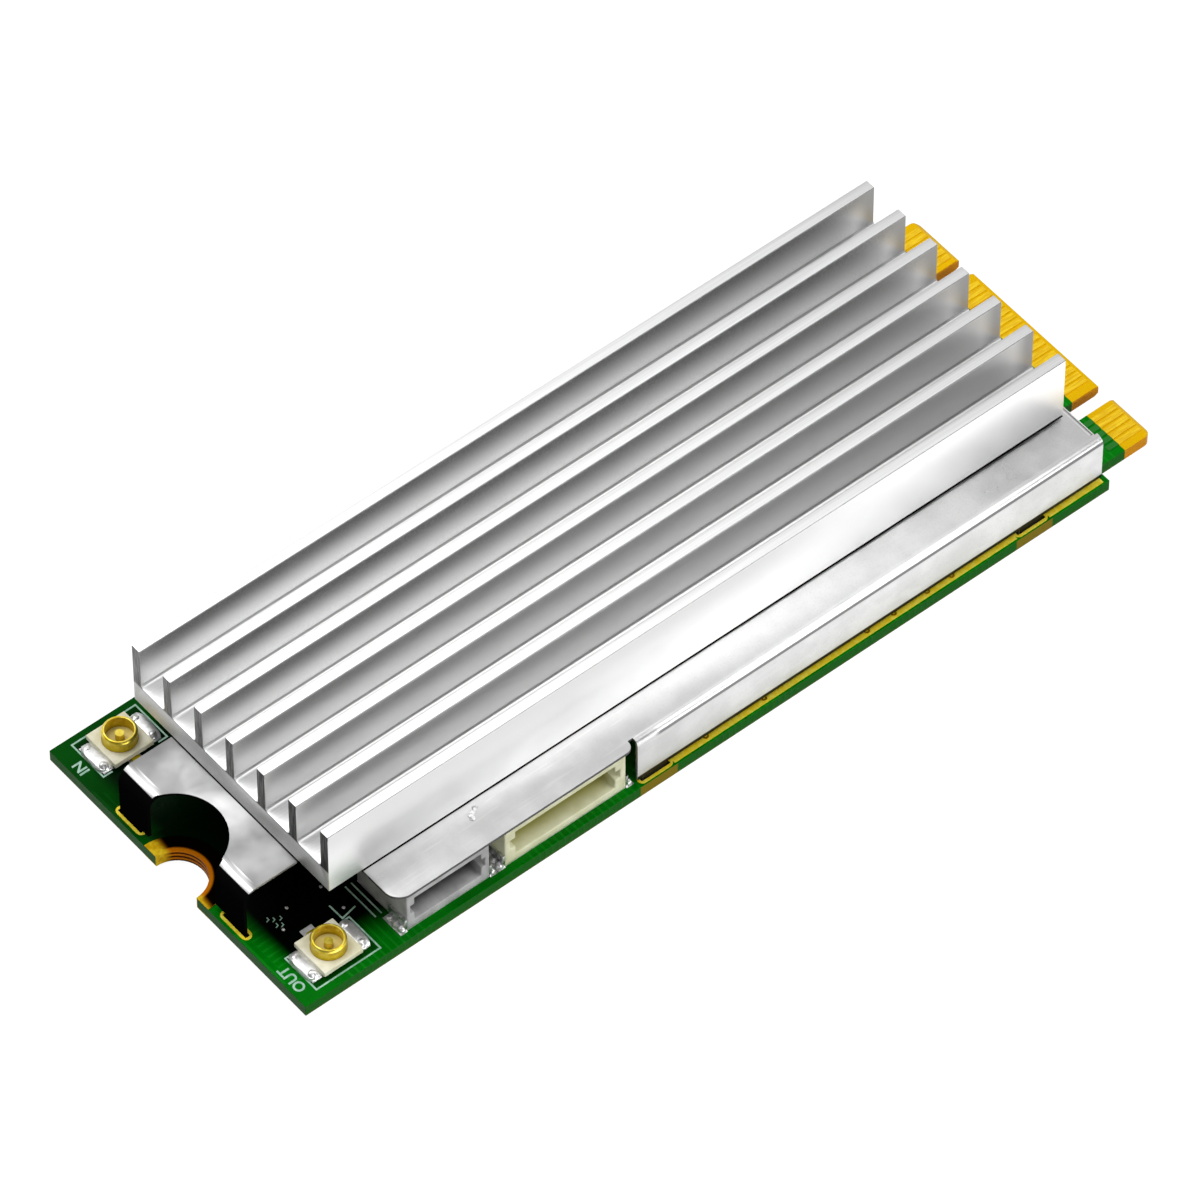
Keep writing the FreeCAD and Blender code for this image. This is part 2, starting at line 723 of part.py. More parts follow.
# A side-entry header: moulded housing open to the front, terminals and two hold-downs.
def header(name):
    start, length, wall, ways = HEADERS[name]
    middle = along(f"{start} + {length} / 2")
    housing = keep(f"{name}_housing", new_body(f"{name}_housing"))
    place(housing, middle, f"-{HEADER_FRONT}", LAND_TOP)
    plan = sketch(housing, f"{name}_plan", "XY_Plane")
    rectangle(plan, f"-{length} / 2", f"{length} / 2", "0", "header_depth")
    pad(housing, f"{name}_block", plan, "header_height")
    mouth = sketch(housing, f"{name}_mouth", "XZ_Plane")
    side = f"({length} / 2 - {wall})"
    rectangle(mouth, f"-{side}", side, "header_floor", "header_height - header_roof")
    deep_pocket(housing, f"{name}_cavity", mouth, "header_cavity")
    # A key slot runs in along the middle of each side wall.
    keys = sketch(housing, f"{name}_keys", "XZ_Plane")
    key_side = f"({side} + {wall} / 2)"
    rectangle(keys, f"-{key_side}", key_side, "header_key_low", "header_key_high")
    deep_pocket(housing, f"{name}_key_slots", keys, "header_key_reach")

    bars = []
    for k in range(ways):
        x = terminal_place(start, length, ways, k)
        bars.append(block(f"{name}_bar{k}", "terminal_width", "terminal_reach", "terminal_thickness", x,
                          f"header_cavity - terminal_reach / 2 - {HEADER_FRONT}",
                          f"{LAND_TOP} + terminal_level"))
        bars.append(block(f"{name}_tail{k}", "terminal_width", "terminal_tail", "terminal_thickness", x,
                          f"header_depth + terminal_tail / 2 - {HEADER_FRONT}", LAND_TOP))
    group(f"{name}_terminals", bars)

    clips = []
    for end in ("-", "+"):
        y = f"hold_down_length / 2 - {HEADER_FRONT}"
        foot = block(f"{name}_foot{end}", "hold_down_width", "hold_down_length", "hold_down_thickness",
                     f"{middle} {end} ({length} + hold_down_width) / 2", y, LAND_TOP)
        upright = block(f"{name}_upright{end}", "hold_down_thickness", "hold_down_length", "hold_down_rise",
                        f"{middle} {end} ({length} + hold_down_thickness) / 2", y, LAND_TOP)
        clips.append(joined(f"{name}_clip{end}", [foot, upright]))
    group(f"{name}_hold_downs", clips)


# Lands under the headers' tails and hold-downs, and a bare strip that carries the housing.
def header_lands():
    lands = []
    for start, length, wall, ways in HEADERS.values():
        for k in range(ways):
            lands.append(block(f"tail_land{len(lands)}", "terminal_width + 2 * land_margin",
                               "terminal_tail + land_margin", "copper",
                               terminal_place(start, length, ways, k),
                               f"header_depth + (terminal_tail + land_margin) / 2 - {HEADER_FRONT}",
                               BOARD_TOP))
        for end in ("-", "+"):
            lands.append(block(f"clip_land{len(lands)}", "hold_down_width + land_margin",
                               "hold_down_length + land_margin", "copper",
                               along(f"{start} + {length} / 2 {end} "
                                     f"({length} + hold_down_width + land_margin) / 2"),
                               f"hold_down_length / 2 - {HEADER_FRONT}", BOARD_TOP))
        lands.append(block(f"housing_land{len(lands)}", length, "header_depth", "copper",
                           along(f"{start} + {length} / 2"), f"header_depth / 2 - {HEADER_FRONT}",
                           BOARD_TOP))
    group("header_lands", lands)


def check_model():
    for thing in doc.Objects:
        if {"Invalid", "Error"} & set(thing.State):
            raise ValueError(f"{thing.Name} failed: {thing.State}")
    for name, thing in kept.items():
        if thing.Shape.isNull() or not thing.Shape.isValid():
            raise ValueError(f"{name} has no valid shape")


def write_parts():
    os.makedirs("parts", exist_ok=True)
    for name, thing in kept.items():
        thing.Shape.exportStep(f"parts/{name}.step")
        print(name, len(thing.Shape.Solids), round(thing.Shape.Volume, 3))


fill_sheet()
circuit_board()
slot_plating()
ground_strips()
group("edge_contacts_top", contact_blocks("top_pin", TOP_PINS, "first_odd_pin", "contact_top", BOARD_TOP))
group("edge_contacts_bottom",
      contact_blocks("bottom_pin", BOTTOM_PINS, "first_even_pin", "contact_bottom", "0"))
screw_pad()
shield()
heatsink()
heatsink_tape()
chips()
thermal_pads()
small_parts()
jack("in_jack", "")
jack("out_jack", "-")
jack_lands()
header("small_header")
header("large_header")
header_lands()
doc.recompute()
check_model()
write_parts()
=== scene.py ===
import json
import math

import bmesh
import bpy
from mathutils import Matrix, Vector, noise


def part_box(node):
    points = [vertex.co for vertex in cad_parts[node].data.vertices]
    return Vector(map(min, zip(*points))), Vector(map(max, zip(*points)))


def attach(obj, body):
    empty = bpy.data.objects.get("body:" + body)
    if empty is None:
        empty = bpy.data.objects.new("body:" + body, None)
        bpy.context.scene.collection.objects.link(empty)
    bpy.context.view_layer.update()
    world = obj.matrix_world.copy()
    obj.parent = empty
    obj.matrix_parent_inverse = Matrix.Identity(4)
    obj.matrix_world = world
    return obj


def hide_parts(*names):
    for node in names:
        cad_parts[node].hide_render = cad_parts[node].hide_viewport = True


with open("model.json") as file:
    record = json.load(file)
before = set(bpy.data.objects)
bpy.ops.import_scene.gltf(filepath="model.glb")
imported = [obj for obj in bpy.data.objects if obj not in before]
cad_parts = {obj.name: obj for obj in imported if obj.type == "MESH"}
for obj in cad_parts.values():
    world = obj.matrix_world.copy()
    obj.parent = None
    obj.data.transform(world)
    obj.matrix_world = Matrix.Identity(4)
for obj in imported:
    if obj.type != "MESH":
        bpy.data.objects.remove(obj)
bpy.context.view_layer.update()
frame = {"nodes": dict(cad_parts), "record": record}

# Places are metres in the card's frame, and MM turns millimetres into metres.
# Finishes and printed marks are laid out in millimetres.
MM = 0.001
BODY = "root"

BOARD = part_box("circuit_board")
NEAR = BOARD[0].x
TIP = BOARD[1].x
SIDE = BOARD[1].y
TOP = BOARD[1].z
SHIELD_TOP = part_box("shield")[1].z
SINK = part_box("heatsink")
SINK_BASE = 1.6 * MM
SINK_FLOOR = SINK[0].z + SINK_BASE
LARGE_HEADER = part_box("large_header_housing")
FLANGE_END = LARGE_HEADER[1].x + 0.3 * MM
WALL_FOOT = TOP + 0.3 * MM
COPPER = 0.04 * MM
TONGUE_SHOULDER = TIP - 4.0 * MM
BARE_GOLD_FROM = TIP - 1.95 * MM
NEAR_SLOT_X = LARGE_HEADER[1].x + 1.9 * MM
FAR_SLOT_X = TONGUE_SHOULDER - 5.4 * MM

# A surface faces a way where its normal's share in that way passes these.
FACING_FROM, FACING_FULL = 0.6, 0.8

# Sockets of a Mix node that mixes colours.
MIX_FACTOR, MIX_FIRST, MIX_SECOND, MIX_RESULT = 0, 6, 7, 2
NOISE_ROUGHNESS = 0.55
COAT_ROUGHNESS = 0.12


def srgb(red, green, blue):
    """A screen colour, 0 to 255, as the linear numbers that a shader takes."""
    def channel(level):
        level /= 255
        return level / 12.92 if level <= 0.04045 else ((level + 0.055) / 1.055) ** 2.4
    return channel(red), channel(green), channel(blue), 1.0


class Finish:
    """A material with one Principled shader. Its textures are laid out in millimetres."""

    def __init__(self, name, colour, roughness, metallic=0.0, coat=0.0, shine=0.5):
        self.material = bpy.data.materials.new(name)
        self.material.use_nodes = True
        self.tree = self.material.node_tree
        self.shader = self.tree.nodes["Principled BSDF"]
        self.set(self.shader, "Base Color", colour)
        self.set(self.shader, "Roughness", roughness)
        self.set(self.shader, "Metallic", metallic)
        self.set(self.shader, "Coat Weight", coat)
        self.set(self.shader, "Coat Roughness", COAT_ROUGHNESS)
        self.set(self.shader, "Specular IOR Level", shine)
        coordinates = self.tree.nodes.new("ShaderNodeTexCoord")
        mapping = self.tree.nodes.new("ShaderNodeMapping")
        mapping.inputs["Scale"].default_value = (1 / MM,) * 3
        self.tree.links.new(coordinates.outputs["Object"], mapping.inputs["Vector"])
        self.place = mapping.outputs["Vector"]
        split = self.tree.nodes.new("ShaderNodeSeparateXYZ")
        self.tree.links.new(self.place, split.inputs[0])
        self.x, self.y, self.z = split.outputs
        facing = self.tree.nodes.new("ShaderNodeSeparateXYZ")
        self.tree.links.new(coordinates.outputs["Normal"], facing.inputs[0])
        self.facing_x, self.facing_y, self.facing_z = facing.outputs

    def set(self, node, socket, setting):
        if hasattr(setting, "is_linked"):
            self.tree.links.new(setting, node.inputs[socket])
        else:
            node.inputs[socket].default_value = setting

    def math(self, operation, first, second=0.0, third=0.0):
        node = self.tree.nodes.new("ShaderNodeMath")
        node.operation = operation
        for slot, setting in enumerate((first, second, third)):
            self.set(node, slot, setting)
        return node.outputs[0]

    def stretch(self, *scale):
        """The place with its axes scaled, for a texture drawn out along one of them."""
        node = self.tree.nodes.new("ShaderNodeMapping")
        self.set(node, "Vector", self.place)
        node.inputs["Scale"].default_value = scale
        return node.outputs[0]

    def noise(self, scale, detail=3.0, vector=None):
        node = self.tree.nodes.new("ShaderNodeTexNoise")
        self.set(node, "Vector", vector or self.place)
        self.set(node, "Scale", scale)
        self.set(node, "Detail", detail)
        self.set(node, "Roughness", NOISE_ROUGHNESS)
        return node.outputs["Fac"]

    def cells(self, scale, distance="EUCLIDEAN"):
        node = self.tree.nodes.new("ShaderNodeTexVoronoi")
        node.distance = distance
        self.set(node, "Vector", self.place)
        self.set(node, "Scale", scale)
        return node

    def between(self, factor, start, full):
        """A smooth step: 0 up to start and 1 from full on. Full may lie on either side of start."""
        node = self.tree.nodes.new("ShaderNodeMapRange")
        node.interpolation_type = "SMOOTHSTEP"
        for socket, setting in (("Value", factor), ("From Min", start), ("From Max", full)):
            self.set(node, socket, setting)
        return node.outputs["Result"]

    def mix(self, factor, first, second):
        """The first colour where the factor is 0, the second where it is 1."""
        node = self.tree.nodes.new("ShaderNodeMix")
        node.data_type = "RGBA"
        for slot, setting in ((MIX_FACTOR, factor), (MIX_FIRST, first), (MIX_SECOND, second)):
            self.set(node, slot, setting)
        return node.outputs[MIX_RESULT]

    def inside(self, axis, low, high, soft=0.05):
        """1 where the axis, in millimetres, lies between low and high, fading over soft."""
        over = self.between(axis, low - soft / 2, low + soft / 2)
        under = self.between(axis, high - soft / 2, high + soft / 2)
        return self.math("MULTIPLY", over, self.math("SUBTRACT", 1.0, under))

    def both(self, *masks):
        """1 where all masks are 1."""
        product = masks[0]
        for mask in masks[1:]:
            product = self.math("MULTIPLY", product, mask)
        return product

    def off_line(self, x, beside=0.0):
        """The distance in millimetres from the upright lines at x that stand beside the card's middle."""
        along = self.math("POWER", self.math("SUBTRACT", self.x, x), 2.0)
        across = self.math("SUBTRACT", self.math("ABSOLUTE", self.y), beside) if beside else self.y
        return self.math("SQRT", self.math("ADD", along, self.math("POWER", across, 2.0)))

    def toward(self, facing, sign=1):
        """1 on surfaces that face the given way."""
        return self.between(self.math("MULTIPLY", facing, float(sign)), FACING_FROM, FACING_FULL)

    def colour(self, setting):
        self.set(self.shader, "Base Color", setting)

    def rough(self, factor, low, high):
        """Roughness from low to high as the factor goes from 0 to 1."""
        spread = self.math("MULTIPLY_ADD", factor, high - low, low)
        self.set(self.shader, "Roughness", spread)

    def bump(self, height, depth, strength=1.0):
        """Depth is in metres, for a height that runs from 0 to 1."""
        node = self.tree.nodes.new("ShaderNodeBump")
        self.set(node, "Height", height)
        self.set(node, "Distance", depth)
        self.set(node, "Strength", strength)
        self.tree.links.new(node.outputs[0], self.shader.inputs["Normal"])


def grey(level):
    return srgb(level, level, level)


# Metals

def heatsink_finish():
    """Extruded aluminium: fine lines along X and bright crests, with painted shade on the channel walls and
    fin ends and painted light on the outer fin.
    """
    finish = Finish("extruded_aluminium", grey(232), 0.34, metallic=1.0)
    floor = SINK_FLOOR / MM
    crest = SINK[1].z / MM
    tail = SINK[1].x / MM
    outer_face = -SINK[0].y / MM
    channels_left, channels_right = 6.0, -6.0
    tail_shade_band = (tail - 1.6, tail - 0.3)
    farther_half = (TIP / MM - 28, TIP / MM - 14)
    under_crest = (crest - 0.4, crest - 0.2)
    over_base = (floor - 0.12, floor + 0.05)

    lines = finish.noise(14.0, 3.0, finish.stretch(0.01, 1.0, 1.0))
    grain = finish.noise(7.0, 5.0)
    saw = finish.noise(9.0, 3.0, finish.stretch(1.0, 1.0, 0.08))
    skin = finish.mix(finish.between(lines, 0.3, 0.7), grey(238), grey(250))
    skin = finish.mix(finish.math("MULTIPLY", finish.between(grain, 0.5, 0.8), 0.2), skin, grey(226))

    # Down a channel the walls are painted darker towards the top, most in the left-hand channels, and greyer
    # near the far end, as painted shade; a thin line of painted shade runs along each root.
    rise = finish.between(finish.z, floor + 0.1, crest + 0.1)
    shade_across = finish.between(finish.y, channels_left, channels_right)
    wall = finish.mix(rise, finish.mix(shade_across, grey(244), grey(202)),
                      finish.mix(shade_across, grey(138), grey(206)))
    root = finish.inside(finish.z, floor + 0.02, floor + 0.22, 0.08)
    wall = finish.mix(finish.math("MULTIPLY", root, 0.5), wall, grey(96))
    wall = finish.mix(finish.math("MULTIPLY", finish.between(grain, 0.35, 0.75), 0.25), wall, grey(210))
    wall = finish.mix(finish.between(finish.x, *tail_shade_band), wall, grey(150))

    # The outer fin's face is painted near white, lightest near its foot and over its far half, as painted
    # light.
    outer = finish.mix(finish.between(finish.z, floor, crest), grey(252), grey(216))
    outer = finish.mix(finish.between(finish.x, *farther_half), outer, grey(254))
    rightness = finish.math("MULTIPLY", finish.y, -1.0)
    wall = finish.mix(finish.between(rightness, outer_face - 0.2, outer_face - 0.1), wall, outer)
    skin = finish.mix(finish.toward(finish.facing_y, -1), skin, wall)
    # Painted shade: a grey line along the rounded edge under each crest.
    crest_edge_shade = finish.both(finish.inside(finish.facing_y, -0.9, -0.35, 0.1),
                        finish.between(finish.z, *under_crest))
    skin = finish.mix(crest_edge_shade, skin, grey(150))

    # Painted shade: the sawn fin ends are painted dark, darker towards the right, and the base's end a
    # lighter grey.
    end_shade = finish.mix(finish.between(saw, 0.35, 0.65), finish.mix(shade_across, grey(96), grey(44)),
                      finish.mix(shade_across, grey(140), grey(88)))
    base_end_shade = finish.mix(finish.between(grain, 0.3, 0.75), grey(196), grey(206))
    end_shade = finish.mix(finish.between(finish.z, *over_base), base_end_shade, end_shade)
    at_end = finish.toward(finish.facing_x, -1)
    finish.colour(finish.mix(at_end, skin, end_shade))
    finish.rough(finish.math("MAXIMUM", grain, at_end), 0.36, 0.5)
    finish.bump(grain, 0.01 * MM, 0.3)
    return finish.material


def shield_finish():
    """Tinned sheet: cloudy satin skin with slow waves, tiny pits and hairline scratches, and painted light
    and shade over it.
    """
    finish = Finish("tinned_sheet", grey(220), 0.3, metallic=1.0, shine=0.0)
    near = NEAR / MM
    top = SHIELD_TOP / MM
    sink_start = SINK[0].x / MM
    flange_end = FLANGE_END / MM
    wall_foot = WALL_FOOT / MM
    right_side = -SIDE / MM
    screw_room = 2.96

    cloud = finish.noise(0.6, 3.0)
    fine = finish.noise(9.0, 3.0)
    scratch = finish.noise(2.2, 2.0, finish.stretch(0.12, 2.5, 1.0))
    # Painted light: the sheet is painted lighter towards the far end.
    lit_farther = finish.between(finish.x, near + 20.0, near + 34.0)
    base = finish.mix(finish.between(cloud, 0.3, 0.72), finish.mix(lit_farther, grey(198), grey(222)),
                      finish.mix(lit_farther, grey(210), grey(234)))
    base = finish.mix(finish.math("MULTIPLY", finish.between(fine, 0.5, 0.7), 0.2), base, grey(188))
    base = finish.mix(finish.math("MULTIPLY", finish.between(scratch, 0.6, 0.68), 0.2), base, grey(236))

    # The tab by the screw is painted darker, as painted shade, in cloudy smudges.
    smudge = finish.between(finish.noise(0.55, 2.0), 0.35, 0.7)
    tab_shade = finish.both(finish.between(finish.x, sink_start + 0.2, sink_start - 0.2),
                      finish.between(finish.z, top - 0.1, top - 0.01))
    base = finish.mix(tab_shade, base, finish.mix(smudge, grey(154), grey(176)))

    # Between the heatsink and the cover, painted shade makes a dark slit.
    under = finish.both(finish.inside(finish.x, sink_start, SINK[1].x / MM),
                        finish.inside(finish.y, SINK[0].y / MM, SINK[1].y / MM),
                        finish.between(finish.z, top - 0.75, top - 0.15))
    base = finish.mix(under, base, grey(22))

    # Painted shadow: where the side wall stands over the ground strip, its foot is painted near black.
    foot_shadow = finish.both(finish.toward(finish.facing_y, -1),
                       finish.between(finish.z, wall_foot + 0.3, wall_foot + 0.24))
    base = finish.mix(foot_shadow, base, grey(10))

    # The flange's cut edge is dull.
    cut_edge = finish.both(finish.between(finish.facing_z, 0.5, 0.4),
                           finish.between(finish.z, top - 0.27, top - 0.23),
                           finish.between(finish.y, right_side + 2.6, right_side + 2.4),
                           finish.between(finish.x, flange_end + 0.7, flange_end + 0.3))
    base = finish.mix(cut_edge, base, grey(84))

    # Along the bend to the side wall a painted highlight lies over a band of painted shade.
    side_bend = finish.both(finish.between(finish.y, right_side + 0.65, right_side + 0.55),
                            finish.between(finish.x, flange_end + 1.5, flange_end + 2.0))
    bend_shade_band = finish.inside(finish.facing_z, 0.05, 0.45, 0.06)
    bend_highlight = finish.inside(finish.facing_z, 0.5, 0.94, 0.06)
    base = finish.mix(finish.both(side_bend, bend_shade_band), base, grey(128))
    base = finish.mix(finish.both(side_bend, bend_highlight), base, grey(250))

    # The bend to the leg is painted with a highlight, a thin line of painted shade where it starts, and
    # painted shade lower down.
    bend = finish.both(finish.between(finish.x, near + 1.36, near + 1.33),
                       finish.between(finish.z, top - 0.85, top - 0.75))
    crease_shade = finish.inside(finish.facing_z, 0.94, 0.992, 0.02)
    bend_light = finish.mix(crease_shade, grey(250), grey(150))
    bend_light = finish.mix(finish.between(finish.facing_z, 0.74, 0.66), bend_light, grey(166))
    base = finish.mix(bend, base, bend_light)

    # The leg, the rim of the screw room and all behind them are painted near black with no metal shine, as
    # painted shade.
    leg = finish.both(finish.between(finish.x, near + 1.1, near + 1.0),
                      finish.between(finish.z, top - 0.43, top - 0.53))
    rim = finish.both(finish.between(finish.off_line(near), screw_room + 0.03, screw_room),
                      finish.between(finish.z, top - 0.02, top - 0.05))
    inner = finish.both(finish.between(finish.x, near + 6.2, near + 6.0),
                        finish.between(finish.z, top - 0.18, top - 0.2))
    dark = finish.math("MAXIMUM", finish.math("MAXIMUM", leg, rim), inner)
    dark = finish.math("MULTIPLY", dark, finish.between(finish.facing_y, 0.8, 0.6))
    finish.colour(finish.mix(dark, base, grey(10)))
    finish.set(finish.shader, "Metallic", finish.math("SUBTRACT", 1.0, dark))
    rough = finish.math("MULTIPLY_ADD", finish.between(cloud, 0.25, 0.75), 0.11, 0.27)
    rough = finish.math("MULTIPLY_ADD", finish.toward(finish.facing_y, -1), 0.16, rough)
    finish.set(finish.shader, "Roughness", rough)
    waves = finish.math("ADD", finish.noise(0.45, 2.0), finish.math("MULTIPLY", fine, 0.1))
    finish.bump(waves, 0.02 * MM, 0.22)
    return finish.material


def gold_finish():
    """Plated gold, a little mottled and finely grained."""
    finish = Finish("gold_plating", srgb(232, 188, 20), 0.3, metallic=1.0)
    fine = finish.noise(4.0, 4.0)
    grain = finish.noise(26.0, 2.0)
    base = finish.mix(finish.between(fine, 0.35, 0.7), srgb(226, 176, 8), srgb(244, 206, 42))
    finish.colour(finish.mix(finish.math("MULTIPLY", grain, 0.25), base, srgb(196, 132, 0)))
    finish.rough(fine, 0.26, 0.42)
    finish.bump(grain, 0.006 * MM, 0.4)
    return finish.material


def land_finish():
    """The plated half ring, gold at its ends; towards its middle painted shade turns it amber, layered on the
    wall, and its top black.
    """
    finish = Finish("land_gold", srgb(220, 170, 20), 0.35, metallic=0.2, shine=0.0)
    near = NEAR / MM
    slant = -0.12
    notch_radius = 1.9
    layer_rate = 21.0

    fine = finish.noise(3.0, 4.0)
    gold = finish.mix(finish.between(fine, 0.35, 0.7), srgb(216, 168, 10), srgb(244, 208, 44))
    # Painted shade: amber over the middle of the top and down the middle of the wall, black on the top beyond
    # the notch's radius.
    inward = finish.math("MULTIPLY_ADD", finish.y, slant, finish.x)
    middle = finish.between(inward, near + 0.25, near + 0.75)
    shaded = finish.both(finish.between(finish.off_line(near), notch_radius, notch_radius + 0.15), middle)
    top = finish.mix(shaded, finish.mix(middle, gold, srgb(206, 116, 6)), srgb(6, 3, 0))
    layers = finish.math("SINE", finish.math("MULTIPLY_ADD", finish.z, layer_rate, fine))
    amber = finish.mix(finish.between(layers, -0.5, 0.6), srgb(214, 126, 10), srgb(70, 28, 0))
    wall = finish.mix(middle, gold, amber)
    finish.colour(finish.mix(finish.between(finish.facing_z, 0.6, 0.4), top, wall))
    finish.bump(fine, 0.02 * MM, 0.5)
    return finish.material


def jack_gold_finish():
    """Thin gold over nickel, painted olive low down as painted shade."""
    finish = Finish("jack_gold", srgb(214, 186, 72), 0.3, metallic=0.8, shine=0.2)
    rim_from, foot_from = 1.9, 1.3
    fine = finish.noise(3.0, 4.0)
    low = finish.between(finish.z, rim_from, foot_from)
    base = finish.mix(finish.between(fine, 0.35, 0.7), srgb(222, 194, 48), srgb(246, 226, 104))
    finish.colour(finish.mix(low, base, srgb(186, 162, 26)))
    finish.rough(fine, 0.26, 0.38)
    return finish.material


def solder_finish():
    """Bright solder with a soft satin skin."""
    finish = Finish("solder_tin", grey(236), 0.3, metallic=0.75)
    fine = finish.noise(3.0, 3.0)
    finish.colour(finish.mix(finish.between(fine, 0.35, 0.7), grey(222), grey(246)))
    finish.rough(fine, 0.24, 0.42)
    finish.bump(fine, 0.03 * MM, 0.4)
    return finish.material


def strip_finish():
    """Soft gold, finely mottled."""
    finish = Finish("strip_gold", srgb(246, 216, 60), 0.4, metallic=0.1, shine=0.3)
    fine = finish.noise(4.0, 3.0)
    finish.colour(finish.mix(finish.between(fine, 0.35, 0.7), srgb(250, 220, 40), srgb(255, 238, 84)))
    finish.rough(fine, 0.32, 0.46)
    return finish.material


def contact_finish():
    """Hard gold with wipe marks along X, and green mask over the contacts' inner ends."""
    metal = 0.45
    finish = Finish("contact_gold", srgb(236, 192, 12), 0.34, metallic=metal, shine=0.3)
    wipe = finish.noise(7.0, 3.0, finish.stretch(0.15, 1.0, 1.0))
    patch = finish.noise(1.3, 3.0)
    base = finish.mix(finish.between(wipe, 0.35, 0.68), srgb(226, 178, 0), srgb(244, 208, 30))
    base = finish.mix(finish.math("MULTIPLY", finish.between(patch, 0.5, 0.8), 0.3), base, srgb(206, 150, 0))
    bare = unmasked(finish)
    finish.colour(finish.mix(bare, srgb(0, 112, 10), base))
    finish.set(finish.shader, "Metallic", finish.math("MULTIPLY", bare, metal))
    finish.rough(wipe, 0.28, 0.44)
    return finish.material


def unmasked(finish):
    """1 from the line on the tongue where the green mask ends."""
    line = BARE_GOLD_FROM / MM
    return finish.between(finish.x, line - 0.02, line + 0.02)


def bright_tin_finish(name, level, roughness):
    """Plated sheet in two close greys."""
    finish = Finish(name, grey(level), roughness, metallic=1.0)
    fine = finish.noise(5.0, 4.0)
    finish.colour(finish.mix(finish.between(fine, 0.35, 0.7), grey(level - 22), grey(min(level + 14, 250))))
    finish.rough(fine, roughness - 0.06, roughness + 0.12)
    finish.bump(fine, 0.03 * MM, 0.5)
    return finish.material


# Circuit board

def beside_slot(finish, middle):
    """1 on the stretch of the card's edge that a side slot's plating runs over."""
    half_length = 1.2
    from_middle = finish.math("ABSOLUTE", finish.math("SUBTRACT", finish.x, middle / MM))
    outside = finish.between(finish.math("ABSOLUTE", finish.facing_y), 0.7, 0.9)
    beyond = finish.between(from_middle, half_length, half_length + 0.15)
    return finish.math("MULTIPLY", outside, finish.math("SUBTRACT", 1.0, beyond))


